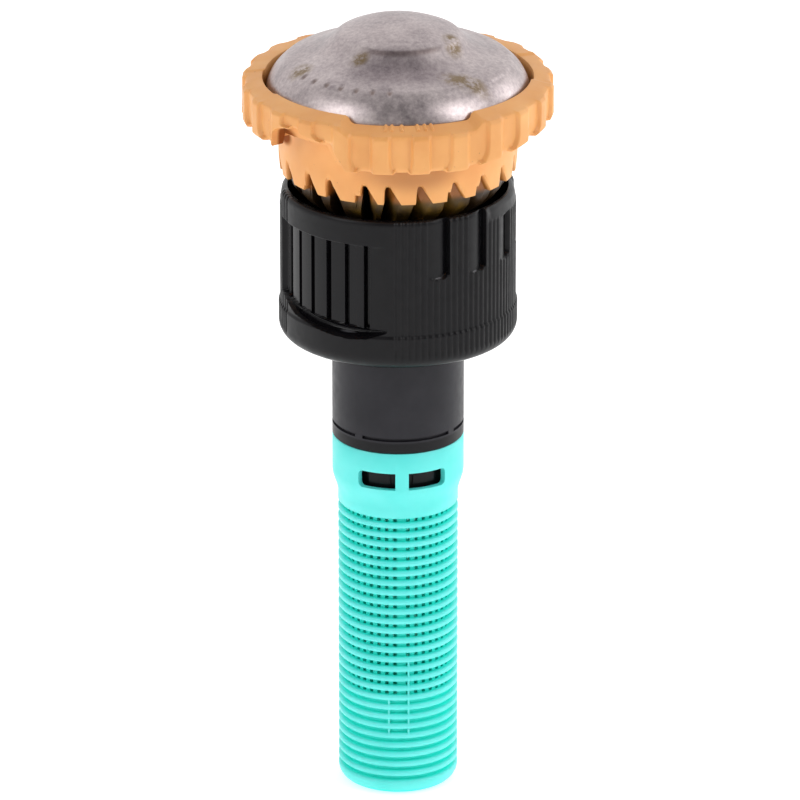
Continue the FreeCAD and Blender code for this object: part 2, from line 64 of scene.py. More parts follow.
def extent(node):
    """Outer radius, lowest and highest height of a CAD node, in millimetres."""
    low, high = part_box(node)
    return (high[0] - low[0]) / 2 / MM, low[2] / MM, high[2] / MM


ring_r, nose_z, chamber_top_z = extent("deflector")
cap_r, cap_rim_z, cap_top_z = extent("top_cap")
collar_r, collar_low_z, collar_top_z = extent("arc_collar")
filter_r, filter_low_z, filter_top_z = extent("filter_screen")
spring_r, spring_low_z, spring_top_z = extent("compression_spring")

# ---- driving dimensions, millimetres and degrees ----
CLOCKING = 4.5                       # heading of the nozzle's symmetry plane
HALF_TURNS = (0, 180)                # finger notches and collar repeat after half a turn

# deflector
RIB_R = ring_r                       # tops of the grip ribs
BAND_R = RIB_R - 0.4                 # band between the ribs
BORE_R = 13.5                        # inside of the band
TIP_Z = nose_z + 4.35                # tips of the teeth
BAND_LOW_Z = nose_z + 8.85           # underside of the band
FLOOR_Z = nose_z + 11.1              # floor that the cap stands on
SIDE_TOP_Z = nose_z + 13.95          # rim of the band at the sides
LOBE_TOP_Z = nose_z + 14.0           # rim of the two front lobes
BACK_TOP_Z = nose_z + 14.15          # rim of the two back lobes
RECESS_TOP_Z = nose_z + 13.3         # rim in front and behind
TOP_SLOPE = 0.55                     # fall of the front rim from its bore to its outside
# rise of the band's underside round the ring: heading, rise
BAND_LIFT = ((-180.0, 1.3), (-100.0, 1.2), (-60.0, 1.0), (-42.0, 0.5), (-25.0, 0.0), (25.0, 0.0),
             (41.0, 0.5), (55.0, 1.1), (79.0, 1.6), (110.0, 1.5), (180.0, 1.3))
RECESSES = ((-20.5, 32.0), (159.5, 212.0))
LOBES = ((-64.5, -20.5), (32.0, 84.0), (116.0, 159.5), (212.0, 264.0))
RIBS = 24
RIB_FIRST = 8.6
RIB_HALF = 3.35
SKIRT_R = 11.95
SKIRT_TIP_R = 11.8
# finger notch in the band's underside: heading, rise
ARCH = ((-53.6, 0.0), (-53.2, 2.3), (-51.5, 2.75), (-49.0, 3.0), (-46.0, 3.2), (-42.0, 3.25),
        (-39.0, 3.1), (-36.0, 2.9), (-31.0, 2.65), (-26.5, 2.45), (-25.0, 2.2), (-22.0, 1.1),
        (-19.4, 0.0))
# notches between the teeth, and the steps beside some: notch, width, height
NOTCHES = (-69.0, -50.5, -37.0, -18.0, -6.5, 9.0, 26.5, 43.0, 58.5) + tuple(
    74.0 + 15.5 * i for i in range(14))
NOTCH_WIDTH = 8.2
NOTCH_HEIGHT = 1.87
NOTCH_STEPS = ((-50.5, 1.6, 0.5), (-18.0, 3.2, 0.75), (26.5, 2.0, 0.95), (43.0, 2.2, 0.9))
DEEP_NOTCHES = (-18.0, -6.5)
# underside between the flutes: radius, rise over the nose
LANDS = ((4.2, 0.35), (5.5, 0.5), (7.0, 0.75), (8.0, 1.0), (9.0, 1.45), (10.0, 2.3), (10.7, 3.2))
FLUTE_SKEW = 14.0
POINTERS = (-5.0, -2.5, 1.5, 8.0, 11.0, 13.7)  # plain ridges on the front rim
NOSE_R = 4.2                         # where the fluted cone starts
FLUTE_END_R = 10.7                   # where it meets the teeth
FLUTE_LOW = 1.7                      # rise of the flutes' roof at the nose
FLUTE_SLOPE = 4.52 / 8.35            # and its slope from there on
SHAFT_BORE_R = 1.55
CHAMBER_WALL_R = 7.4                 # outside of the brake chamber
CHAMBER_BORE_R = 6.4
CHAMBER_DEPTH = 7.2
DEFLECTOR_COLUMNS = 1440

# cap
CAP_COLUMNS = 800
SHEET = 0.7                          # thickness of the cap
STAMPS = 7                           # plain strokes stamped on the rolled edge
FIRST_STAMP = -57.0
STAMP_PITCH = 8.8
STAMP_R = (10.5, 10.75, 11.35)       # inner ends of the long and short strokes, outer ends
STAMP_HALF = 0.22
STAMP_DEPTH = 0.12
CAP_STAINS = (                       # brown patches: centre and size
    ((6.6, -8.2, 0), (3.2, 1.6, 0)),
    ((-9.6, -4.6, 0), (1.6, 1.5, 0)),
    ((5.4, -3.2, 0), (1.3, 2.2, 0)),
    ((-3.8, -6.0, 0), (1.3, 0.9, 0)),
)

# collar
FOOT_TOP_Z = collar_low_z + 3.4      # top of the wider foot
CORNER_HEIGHT = 1.4                  # of the foot's rounded lower corner
CORNER_WIDTH = 0.8
COLLAR_OUT_R = collar_r - 0.15
COLLAR_BORE_R = 10.35
CHAMBER_R = 10.6
SHELF_Z = collar_low_z + 9.2
SHELF_BORE_R = 9.4
PANEL = (-77.0, -4.6)
PANEL_TOP_Z = collar_low_z + 12.85
PANEL_DEPTH = 0.55
GROOVES = tuple(-15.6 - 10.9 * i for i in range(6))
GROOVE_DEPTH = 0.5
COVE = (                             # crescent under the panels: heading, top, height
    (-77.0, 5.1, 0.0), (-72.0, 5.0, 0.2), (-60.0, 4.65, 0.85), (-45.5, 4.42, 1.0),
    (-34.0, 4.3, 1.15), (-24.0, 4.23, 1.2), (-15.0, 4.15, 0.93), (-6.5, 4.1, 0.3),
    (-4.6, 4.1, 0.0))
SLOTS = (20.0, 42.0, 64.5, 87.0)
SLOT_HALF = 1.2
SLOT_DEPTH = 0.72
SLOT_LOW_Z = collar_low_z + 9.2
RIM_TAPER = (50.0, 99.0)             # headings where the rim leans in, smooth, above the knurls
RIM_TAPER_Z = collar_top_z - 1.65
KNURL = (-1.0, 111.0)                # first and last line of the knurled zone
KNURL_PITCH = 3.2
PLAIN_COLUMNS = 121                  # columns of the mesh between the knurled zones

# filter
SCREEN_R = 6.09
GROOVE_R = 5.5
SCREEN_BORE_R = 4.75
SOCKET_R = 5.6
RINGS = 28
RING_PITCH = 1.05
FIRST_GROOVE_Z = 1.86
GROOVE_HEIGHT = 0.52
OPEN_ROWS = 19                       # rows of holes, counted from the top
HOLE_PITCH = 8.75
HOLE_WIDTH = 4.0
HOLES_PER_HALF = 20
BAR_HEADING = 3.65                   # the wide bar between two columns of holes
TIES = ((-9.0, 10.8), (10.4, 15.0))  # slim bars across the lower grooves: heading and top
TIE_HALF = 0.8
TIE_LOW_Z = 6.6
TAPER_Z = (31.5, 33.9)
WINDOW_Z = (33.8, 35.6)              # snap windows
WINDOWS = ((-36.9, -2.3), (9.4, 45.4), (143.1, 177.7), (189.4, 225.4))
WINDOW_ROUND = 0.5
WINDOW_WALL = 0.6                    # thickness of the wall round the windows
BASE_ROUND = (1.15, 1.3)             # width and height of the rounded lower edge
FLOOR_TOP_Z = 1.2                    # top of the closed end
SOCKET_LOW_Z = 32.4                  # floor of the socket for the neck

# spring
SPRING_TURNS = 6
SPRING_WIRE_R = 0.25

# shade painted on the parts, and a painted darker reflection on the cap: centre and size
UNDER_BAND_SHADE = ((2.5, -12.0, BAND_LOW_Z - 1.0), (9.0, 2.5, 3.0))
ARCH_WALL_SHADE = ((-11.3, -8.4, BAND_LOW_Z + 1.55), (2.4, 2.4, 1.5))
ARCH_END_SHADE = ((-11.3, -4.1, BAND_LOW_Z + 0.25), (1.6, 2.3, 1.2))
FLUTE_SIDE_SHADE = ((1.0, -10.0, 0), (6.5, 8.0, 0))
CAP_FRONT_REFLECTION = ((0.3, -7.8, 0), (8.0, 3.2, 0))
KNOB_FRONT_SHADE = ((0.9, -6.4, 0), (6.0, 3.2, 0))

# studio, in metres and watts
SKY = (0.3, 0.95)                    # brightness of the surround, in front and behind
FLOOR_HALF = 3.0
FLOOR_GLOW = 0.5
AIM = (0, 0, 0.06)                   # middle of the part, where the lights point
LAMPS = (                            # name, place, size, power
    ("left key", (-0.54, -0.36, 0.46), (0.3, 0.45), 1.5),
    ("right key", (0.58, -0.3, 0.46), (0.3, 0.45), 1.85),
    ("right rim", (0.5, 0.25, 0.15), (0.15, 0.5), 0.6),
)
CAMERA_PLACE = (0.0002, -0.7459, 0.3302)
CAMERA_FALL = 21.19                  # degrees below the horizon
LENS = 356                           # millimetres, on a sensor 36 mm wide


# ---- shapes on the cylinder ----
def away(heading, centre):
    """Signed angle from a heading, between -180 and 180 degrees."""
    return (heading - centre + 180) % 360 - 180


def soft(amount):
    """Smooth step from 0 to 1."""
    amount = np.clip(amount, 0, 1)
    return amount * amount * (3 - 2 * amount)


def plateau(heading, first, last, ramp):
    """1 between two headings and 0 outside them, with soft ramps centred on both ends."""
    inside = (last - first) / 2 - np.abs(away(heading, (first + last) / 2))
    return soft(inside / ramp + 0.5)


def steps(low, high, count):
    """Evenly spaced numbers from low to high, both ends included."""
    return [low + (high - low) * i / (count - 1) for i in range(count)]


def mesh_object(name, vertices, faces, sharp_angle):
    """An object from vertices in millimetres, with coincident points welded, faces turned
    outward, and smooth shading between edges sharper than an angle."""
    mesh = bpy.data.meshes.new(name)
    mesh.from_pydata((np.asarray(vertices) * MM).tolist(), [], faces)
    mesh.validate()
    work = bmesh.new()
    work.from_mesh(mesh)
    bmesh.ops.remove_doubles(work, verts=work.verts, dist=1e-6)
    bmesh.ops.dissolve_degenerate(work, edges=work.edges, dist=1e-7)
    bmesh.ops.recalc_face_normals(work, faces=work.faces)
    work.to_mesh(mesh)
    work.free()
    mesh.shade_smooth()
    mesh.set_sharp_from_angle(angle=math.radians(sharp_angle))
    piece = bpy.data.objects.new(name, mesh)
    bpy.context.scene.collection.objects.link(piece)
    return piece


def sweep(name, headings, rows, sharp_angle=35):
    """Sweep a closed outline round Z. A row is (radius, height) or (radius, height, twist),
    each a number or an array over the headings."""
    columns = len(headings)
    points = []
    for row in rows:
        radius, height, twist = row if len(row) == 3 else row + (0.0,)
        angle = np.radians(headings + twist)
        height = np.broadcast_to(np.asarray(height, float), columns)
        points.append(np.stack([radius * np.sin(angle), -radius * np.cos(angle), height], 1))
    index = np.arange(len(rows) * columns).reshape(len(rows), columns)
    above = np.roll(index, -1, axis=0)
    faces = np.stack([index, np.roll(index, -1, 1), np.roll(above, -1, 1), above], 2)
    return mesh_object(name, np.concatenate(points), faces.reshape(-1, 4).tolist(), sharp_angle)


# ---- deflector ----
def raised(heading, first, last, first_ramp, last_ramp):
    """Like plateau, with a ramp of its own at each end."""
    middle = (first + last) / 2
    across = away(heading, middle)
    start = soft((across + (last - first) / 2) / first_ramp + 0.5)
    return start * soft(((last - first) / 2 - across) / last_ramp + 0.5)


def rib_mask(heading, height_share):
    """1 on the grip ribs and 0 between them. Towards the sides a pocket fades into the rib in
    front of it, ends in a crisp edge behind, and has one round lower corner."""
    mask = np.zeros_like(heading)
    low = max(0.0, 1 - height_share / 0.45)
    for i in range(RIBS):
        centre = RIB_FIRST + 360.0 / RIBS * i
        turn = float(away(centre, CLOCKING))
        bulge = min(0.8 + abs(turn) * 0.09, 4.2) * (1 - math.sqrt(max(0.0, 1 - low * low)))
        fade = 1.3 + min(abs(turn) * 0.05, 3.5)
        first, last = centre - RIB_HALF, centre + RIB_HALF
        if turn >= 0:
            rib = raised(heading, first - bulge, last, 1.3, fade)
        else:
            rib = raised(heading, first, last + bulge, fade, 1.3)
        mask = np.maximum(mask, rib)
    return mask


def front_share(heading):
    """1 in front, falling to 0 behind the widest points."""
    return 1 - soft((np.abs(away(heading, 0)) - 60) / 60)


def rim_height(heading):
    top = np.full_like(heading, SIDE_TOP_Z)
    lobe_z = BACK_TOP_Z + (LOBE_TOP_Z - BACK_TOP_Z) * front_share(heading)
    for first, last in LOBES:
        top += (lobe_z - SIDE_TOP_Z) * plateau(heading, first, last, 2)
    for first, last in RECESSES:
        top += (RECESS_TOP_Z - top) * plateau(heading, first, last, 5)
    return top


def band_low(heading):
    """Height of the band's lower edge, without the finger notches."""
    turns, lifts = zip(*BAND_LIFT)
    return BAND_LOW_Z + np.interp(away(heading, 0), turns, lifts)


def bore_radius(heading):
    """The lobes stand a little further in than the rest of the rim."""
    radius = np.full_like(heading, BORE_R)
    for first, last in LOBES:
        radius -= 0.22 * plateau(heading, first, last, 1.5)
    return radius


def arch_rise(heading):
    """Rise of the finger notches in the band's lower edge."""
    rise = np.zeros_like(heading)
    turns, heights = zip(*ARCH)
    for turn in HALF_TURNS:
        rise = np.maximum(rise, np.interp(away(heading, turn), turns, heights, 0, 0))
    return rise


def flute_share(heading):
    """0 on the teeth and 1 at the roof of the notches between them."""
    share = np.zeros_like(heading)
    turns = (-0.3, 0.0, 0.35, 0.9, 2.2, 3.0, 3.7, NOTCH_WIDTH)
    roof = (0.0, 0.62, 0.86, 0.99, 1.0, 0.93, 0.78, 0.0)
    for notch in NOTCHES:
        share = np.maximum(share, np.interp(away(heading, notch), turns, roof, 0, 0))
    return share


def tooth_steps(heading):
    """Small extra steps beside some of the teeth."""
    rise = np.zeros_like(heading)
    for notch, width, height in NOTCH_STEPS:
        rise = np.maximum(rise, height * plateau(heading, notch - width, notch + 0.5, 0.5))
    return rise


def pointer_mask(heading):
    mask = np.zeros_like(heading)
    for pointer in POINTERS:
        mask = np.maximum(mask, plateau(heading, pointer - 0.6, pointer + 0.6, 0.6))
    return mask


def cone_rows(heading):
    """Underside: nose, fluted cone and the flat ends of the teeth."""
    share = flute_share(heading)
    deep = np.zeros_like(heading)
    for notch in DEEP_NOTCHES:
        deep = np.maximum(deep, plateau(heading, notch, notch + 5.0, 1.0))
    skew_r = SKIRT_R * math.sin(math.radians(FLUTE_SKEW))
    rows = [(SHAFT_BORE_R, nose_z), (2.4, nose_z), (3.1, nose_z + 0.15)]
    land_r, land_rise = zip(*LANDS)
    for radius in steps(NOSE_R, FLUTE_END_R, 11):
        cone_z = nose_z + np.interp(radius, land_r, land_rise)
        roof_z = nose_z + FLUTE_LOW + (radius - NOSE_R) * FLUTE_SLOPE + 1.2 * deep
        twist = FLUTE_SKEW - math.degrees(math.asin(skew_r / radius))
        rows.append((radius, cone_z + (roof_z - cone_z) * share, twist))
    tip_z = TIP_Z + np.maximum(NOTCH_HEIGHT * share, tooth_steps(heading))
    rows.append((11.05, tip_z + 0.9 * deep * share))
    rows.append((SKIRT_TIP_R - 0.1, tip_z))
    rows.append((SKIRT_TIP_R, tip_z + 0.08))
    return rows, tip_z


def deflector_shape():
    heading = np.arange(DEFLECTOR_COLUMNS) * 360 / DEFLECTOR_COLUMNS - 180
    rows, tip_z = cone_rows(heading)
    rise = arch_rise(heading)
    low = np.maximum(band_low(heading), BAND_LOW_Z + rise)
    under = np.maximum(band_low(heading), BAND_LOW_Z + np.minimum(arch_rise(heading + 6), 1.9))
    skirt_top = under - 0.45
    for share in steps(0.12, 1, 8):
        height = tip_z + (skirt_top - tip_z) * share
        lean = np.clip((TIP_Z + 1.6 - height) / 1.6, 0, 1)
        rows.append((SKIRT_R - (SKIRT_R - SKIRT_TIP_R) * lean, height))
    rows += [(SKIRT_R + 0.06, under - 0.22), (SKIRT_R + 0.2, under - 0.06),
             (SKIRT_R + 0.45, under), (13.9, under), (14.1, low)]
    lower = rib_mask(heading, 0.0)
    edge_r = BAND_R + (RIB_R - BAND_R) * lower
    cut_in = 0.45 - 0.33 * lower
    cut_up = 0.38 - 0.26 * lower
    rows += [(edge_r - cut_in, low), (edge_r - cut_in * 0.35, low + cut_up * 0.3)]
    top = rim_height(heading)
    bore = bore_radius(heading)
    outer_top = top - TOP_SLOPE * (0.15 + 0.85 * front_share(heading))
    wall_low = low + cut_up
    wall_high = outer_top - 0.35
    for share in steps(0, 1, 14):
        radius = BAND_R + (RIB_R - BAND_R) * rib_mask(heading, share)
        rows.append((radius, wall_low + (wall_high - wall_low) * share))
    ribs = rib_mask(heading, 1.0)
    wall_r = BAND_R + (RIB_R - BAND_R) * ribs
    rows += [(wall_r - 0.07, outer_top - 0.14 - 0.1 * ribs),
             (wall_r - 0.26, outer_top - 0.03 * ribs)]
    ridge = 0.16 * pointer_mask(heading)

    def on_top(radius, extra=0.0):
        share = (BAND_R - 0.26 - radius) / (BAND_R - 0.26 - bore)
        return (radius, outer_top + (top - outer_top) * share + extra)

    rows += [on_top(BAND_R - 0.5), on_top(14.4), on_top(14.34, ridge), on_top(bore + 0.16, ridge)]
    rows += [(bore + 0.05, top - 0.03 + ridge), (bore, top - 0.12)]
    rows += [(bore, FLOOR_Z + 0.5), (BORE_R, FLOOR_Z), (CHAMBER_WALL_R + 0.6, FLOOR_Z)]
    rows += [(CHAMBER_WALL_R, chamber_top_z), (CHAMBER_BORE_R, chamber_top_z)]
    rows += [(CHAMBER_BORE_R, chamber_top_z - CHAMBER_DEPTH),
             (SHAFT_BORE_R, chamber_top_z - CHAMBER_DEPTH)]
    return sweep("deflector_moulding", heading, rows)


# ---- cap ----
def arc_points(start, middle, end, count):
    """Points on the circle through three points, both ends included."""
    (ax, ay), (bx, by), (cx, cy) = start, middle, end
    turn = 2 * (ax * (by - cy) + bx * (cy - ay) + cx * (ay - by))
    aa, bb, cc = ax * ax + ay * ay, bx * bx + by * by, cx * cx + cy * cy
    ox = (aa * (by - cy) + bb * (cy - ay) + cc * (ay - by)) / turn
    oy = (aa * (cx - bx) + bb * (ax - cx) + cc * (bx - ax)) / turn
    first = math.atan2(ay - oy, ax - ox)
    last = math.atan2(cy - oy, cx - ox)
    radius = math.hypot(ax - ox, ay - oy)
    return [(ox + radius * math.cos(a), oy + radius * math.sin(a))
            for a in steps(first, last, count)]


def cap_outline():
    """Outside of the cap from its rim to its top."""
    z = cap_top_z
    points = [(cap_r, z - 8.8), (cap_r, z - 8.2), (cap_r, z - 7.5)]
    points += arc_points((cap_r, z - 6.85), (11.9, z - 4.85), (9.4, z - 3.6), 40)
    points += arc_points((9.2, z - 3.53), (8.4, z - 3.2), (7.8, z - 2.9), 8)
    points += arc_points((7.6, z - 2.78), (7.0, z - 2.32), (6.45, z - 1.82), 10)
    points += arc_points((6.35, z - 1.72), (6.1, z - 1.49), (5.8, z - 1.3), 7)
    points += arc_points((5.6, z - 1.2), (2.8, z - 0.3), (0.0, z), 18)
    return points


def stamp_depth(x, y):
    """A graduated row of plain short strokes stamped on the left of the rolled edge."""
    radius = np.hypot(x, y)
    heading = np.degrees(np.arctan2(x, -y))
    depth = np.zeros_like(x)
    long_r, short_r, end_r = STAMP_R
    for i in range(STAMPS):
        centre = FIRST_STAMP + STAMP_PITCH * i
        low = long_r if i % 3 == 0 else short_r
        across = np.abs(away(heading, centre)) * radius * math.pi / 180
        along = np.minimum(radius - low, end_r - radius)
        depth = np.maximum(depth, soft(1.3 - across / STAMP_HALF) * soft(along / 0.12 + 0.5))
    return STAMP_DEPTH * depth


def cap_shape():
    heading = np.arange(CAP_COLUMNS) * 360 / CAP_COLUMNS - 180
    outline = cap_outline()
    rows = []
    angle = np.radians(heading)
    for radius, height in outline:
        x, y = radius * np.sin(angle), -radius * np.cos(angle)
        waves = np.sin(0.55 * x + 1.2) * np.cos(0.48 * y - 0.6) + 0.6 * np.sin(0.9 * x - 1.1 * y)
        dents = 0.035 * waves * math.exp(-((radius - 7.5) / 4.0) ** 2)
        ledge = 0.05 * float(soft(radius / 0.2 - 53.5) * (1 - soft(radius / 0.2 - 56.5)))
        rows.append((radius, height + dents + ledge - stamp_depth(x, y)))
    inner = [(max(radius - SHEET, 0.0), height) if height < cap_top_z - 6.5 else
             (radius * 0.955, height - SHEET - 0.02) for radius, height in outline[::-1]]
    rows += inner[::3]
    rows.append((cap_r - SHEET, cap_rim_z))
    return sweep("cap_stamping", heading, rows, 60)


# ---- collar ----
def collar_headings():
    """Fine columns through the knurled zones, coarser ones elsewhere, twice round."""
    first, last = KNURL[0] - KNURL_PITCH / 2, KNURL[1] + KNURL_PITCH / 2
    fine = KNURL_PITCH / 8
    knurled = np.arange(first, last, fine)
    plain = np.linspace(knurled[-1] + fine, first + 180, PLAIN_COLUMNS, endpoint=False)
    half = np.concatenate([knurled, plain])
    return np.concatenate([half, half + 180])


def rim_taper(heading, height):
    """0 below the smooth taper of the rim and 1 at its top."""
    side = np.zeros_like(heading)
    for turn in HALF_TURNS:
        side = np.maximum(side, plateau(heading, RIM_TAPER[0] + turn, RIM_TAPER[1] + turn, 5.0))
    return side * float(np.clip((height - RIM_TAPER_Z) / (collar_top_z - RIM_TAPER_Z), 0, 1))


def slot_share(heading, height):
    """How far into the ramped rim slots a point is: 0 outside, up to 1 at their deep side."""
    share = np.zeros_like(heading)
    for turn in HALF_TURNS:
        for slot in SLOTS:
            across = away(heading, slot + turn) * COLLAR_OUT_R * math.pi / 180 / SLOT_HALF
            round_z = SLOT_LOW_Z + 0.6 * (1 - np.sqrt(np.clip(1 - across ** 2, 0, 1)))
            inside = soft((1 - np.abs(across)) / 0.08) * soft((height - round_z) / 0.25)
            share = np.maximum(share, inside * (0.12 + 0.88 * ((across + 1) / 2) ** 2))
    return share * (1 - soft(rim_taper(heading, height) * 8))


def knurl_share(heading, height):
    """1 in the middle of the fine upright lines of the knurled zones, 0 between them."""
    share = np.zeros_like(heading)
    for turn in HALF_TURNS:
        count = round((KNURL[1] - KNURL[0]) / KNURL_PITCH)
        step = np.clip(np.round(away(heading, KNURL[0] + turn) / KNURL_PITCH), 0, count)
        across = away(heading, KNURL[0] + turn) - step * KNURL_PITCH
        share = np.maximum(share, np.clip(1 - (across / 0.9) ** 2, 0, 1))
    above = soft((height - collar_low_z - 0.9) / 0.5)
    return share * above * (1 - soft(rim_taper(heading, height) * 6))


def panel_depth(heading, height):
    """Depth of the louvred panels, their upright grooves and the crescent cove under them."""
    depth = np.zeros_like(heading)
    turns, tops, heights = zip(*COVE)
    for turn in HALF_TURNS:
        first, last = PANEL[0] + turn, PANEL[1] + turn
        across = away(heading, first)
        along = away(heading, turn)
        cove_top = collar_low_z + np.interp(along, turns, tops)
        cove_height = np.interp(along, turns, heights, 0, 0)
        floor = PANEL_DEPTH * plateau(heading, first, last + 2, 1.0)
        floor = floor * soft((last - first - across) / 22.0)
        for groove in GROOVES:
            cut = soft(1.75 - np.abs(away(heading, groove + turn)))
            floor = np.maximum(floor, (PANEL_DEPTH + GROOVE_DEPTH) * cut)
        upright = soft((height - cove_top) / 0.15 + 0.5)
        upright = upright * soft((PANEL_TOP_Z - height) / 0.2 + 0.5)
        inside = 1 - ((height - cove_top + cove_height / 2) / (cove_height / 2 + 0.02)) ** 2
        cove = np.sqrt(np.clip(inside, 0, 1)) * np.minimum(cove_height, 0.9)
        depth = np.maximum(depth, np.maximum(floor * upright, cove * 1.15))
    return depth


def wall_radius(heading, height):
    """Outside of the collar above its rounded lower edge."""
    step = float(soft((FOOT_TOP_Z + 0.15 - height) / 0.3))
    slot = slot_share(heading, height)
    knurl = knurl_share(heading, height) * (1 - soft(slot * 8))
    radius = COLLAR_OUT_R + (collar_r - COLLAR_OUT_R) * step
    lean = 0.3 * rim_taper(heading, height)
    return radius - lean - panel_depth(heading, height) - SLOT_DEPTH * slot - 0.13 * knurl


def collar_levels():
    """Heights of the collar's rows, closest together where its wall has detail."""
    low = collar_low_z
    return [
        *steps(low + CORNER_HEIGHT, low + 2.8, 3),
        *steps(low + 2.9, low + 5.2, 32),
        *steps(low + 5.7, SLOT_LOW_Z - 0.2, 5),
        *steps(SLOT_LOW_Z - 0.1, SLOT_LOW_Z + 1.1, 15),
        *steps(SLOT_LOW_Z + 1.5, PANEL_TOP_Z - 0.3, 4),
        *steps(PANEL_TOP_Z - 0.2, PANEL_TOP_Z + 0.2, 7),
        RIM_TAPER_Z - 0.4, RIM_TAPER_Z,
        *steps(RIM_TAPER_Z + 0.1, collar_top_z - 0.4, 7),
    ]


def collar_shape():
    heading = collar_headings()
    foot_r = collar_r - CORNER_WIDTH
    corner = arc_points((foot_r, collar_low_z), (collar_r - 0.22, collar_low_z + 0.55),
                        (collar_r, collar_low_z + CORNER_HEIGHT), 7)
    rows = [(COLLAR_BORE_R, collar_low_z), (foot_r, collar_low_z)]
    for radius, height in corner[1:-1]:
        rows.append((radius - 0.1 * knurl_share(heading, height), height))
    rows += [(wall_radius(heading, height), height) for height in collar_levels()]
    rim_r = wall_radius(heading, collar_top_z)
    rim_slot = slot_share(heading, collar_top_z)
    rows.append((rim_r - 0.04, collar_top_z - 0.25))
    rows.append((rim_r - 0.12 + 0.1 * rim_slot, collar_top_z - 0.07))
    rows.append((rim_r - 0.25 + 0.25 * rim_slot, collar_top_z))
    rows.append((COLLAR_OUT_R - SLOT_DEPTH - 0.05, collar_top_z - 0.02))
    rows += [(CHAMBER_R + 0.15, collar_top_z - 1.2), (CHAMBER_R, collar_top_z - 1.5)]
    rows += [(CHAMBER_R, SHELF_Z), (SHELF_BORE_R, SHELF_Z)]
    rows += [(SHELF_BORE_R, SHELF_Z - 0.35), (COLLAR_BORE_R, SHELF_Z - 0.35)]
    return sweep("collar_moulding", heading, rows, 38)


# ---- filter ----
def hole_headings():
    """Middles of the columns of holes."""
    first = HOLE_PITCH * (HOLES_PER_HALF - 1)
    gap = (180 - first) / 2
    return [BAR_HEADING + 180 * half + gap + HOLE_PITCH * i
            for half in range(2) for i in range(HOLES_PER_HALF)]


def ordered(marks, period=math.inf):
    """Marks in order; of those less than 0.02 apart only the last stays."""
    marks = sorted(round(m, 4) for m in marks)
    following = marks[1:] + [marks[0] + period]
    return np.array([m for m, after in zip(marks, following) if after - m > 0.02])


def filter_columns():
    """Headings where the filter's walls begin and end."""
    marks = set()
    for hole in hole_headings():
        marks |= {hole - HOLE_WIDTH / 2, hole, hole + HOLE_WIDTH / 2}
    for tie, _ in TIES:
        marks |= {tie - TIE_HALF, tie + TIE_HALF}
    turn = math.degrees(WINDOW_ROUND / filter_r)
    for first, last in WINDOWS:
        outer, inward = window_outer(first, last)
        marks |= {first, last, outer + inward * turn / 2, outer + inward * turn}
    return ordered((m % 360 for m in marks), 360)


def window_outer(first, last):
    """The rounded end of a window, and the direction from it into the window."""
    bar = BAR_HEADING + 180 * (abs(first + last) / 2 > 90)
    if abs(away(first, bar)) > abs(away(last, bar)):
        return first, 1
    return last, -1


def filter_levels():
    """Heights where the filter's walls begin and end."""
    marks = {filter_low_z, 0.06, 0.2, 0.45, 0.8, FLOOR_TOP_Z, BASE_ROUND[1]}
    marks |= {SOCKET_LOW_Z - 0.4, SOCKET_LOW_Z, filter_top_z - 0.12, filter_top_z}
    for row in range(RINGS):
        middle = FIRST_GROOVE_Z + row * RING_PITCH
        for half in (GROOVE_HEIGHT / 2, GROOVE_HEIGHT / 2 + 0.12):
            marks |= {middle - half, middle + half}
    marks |= set(steps(TAPER_Z[0], TAPER_Z[1], 6))
    low, high = WINDOW_Z
    marks |= {low, low + WINDOW_ROUND / 2, low + WINDOW_ROUND}
    marks |= {high, high - WINDOW_ROUND / 2, high - WINDOW_ROUND}
    return ordered(marks)


def in_groove(height):
    row = round((height - FIRST_GROOVE_Z) / RING_PITCH)
    middle = FIRST_GROOVE_Z + row * RING_PITCH
    return 0 <= row < RINGS and abs(height - middle) < GROOVE_HEIGHT / 2


def filter_outer_r(height):
    """Outside of the filter, with the rings' edges rounded off."""
    low, high = TAPER_Z
    radius = SCREEN_R + (filter_r - SCREEN_R) * float(soft((height - low) / (high - low)))
    wide, tall = BASE_ROUND
    if height < tall:
        return SCREEN_R - wide * (1 - math.sqrt(max(0.0, 1 - (1 - height / tall) ** 2)))
    for row in range(RINGS):
        middle = FIRST_GROOVE_Z + row * RING_PITCH
        if abs(abs(height - middle) - GROOVE_HEIGHT / 2) < 0.01:
            return radius - 0.11
    if height > filter_top_z - 0.05:
        return radius - 0.1
    return radius


def filter_solid(layer, heading, height):
    """Whether a cell of the filter, from bore to outside, holds plastic."""
    if layer == 0:
        return height < FLOOR_TOP_Z
    holes_low = FIRST_GROOVE_Z + (RINGS - OPEN_ROWS - 0.5) * RING_PITCH
    holes_high = FIRST_GROOVE_Z + (RINGS - 0.5) * RING_PITCH
    in_hole = any(abs(away(heading, h)) < HOLE_WIDTH / 2 for h in hole_headings())
    in_tie = any(abs(away(heading, tie)) < TIE_HALF and TIE_LOW_Z < height < top
                 for tie, top in TIES)
    if layer == 1:
        if height > SOCKET_LOW_Z:
            return False
        return not (in_hole and holes_low < height < holes_high)
    low, high = WINDOW_Z
    if low < height < high:
        for first, last in WINDOWS:
            if abs(away(heading, (first + last) / 2)) < (last - first) / 2:
                return False
    return in_tie or not in_groove(height)


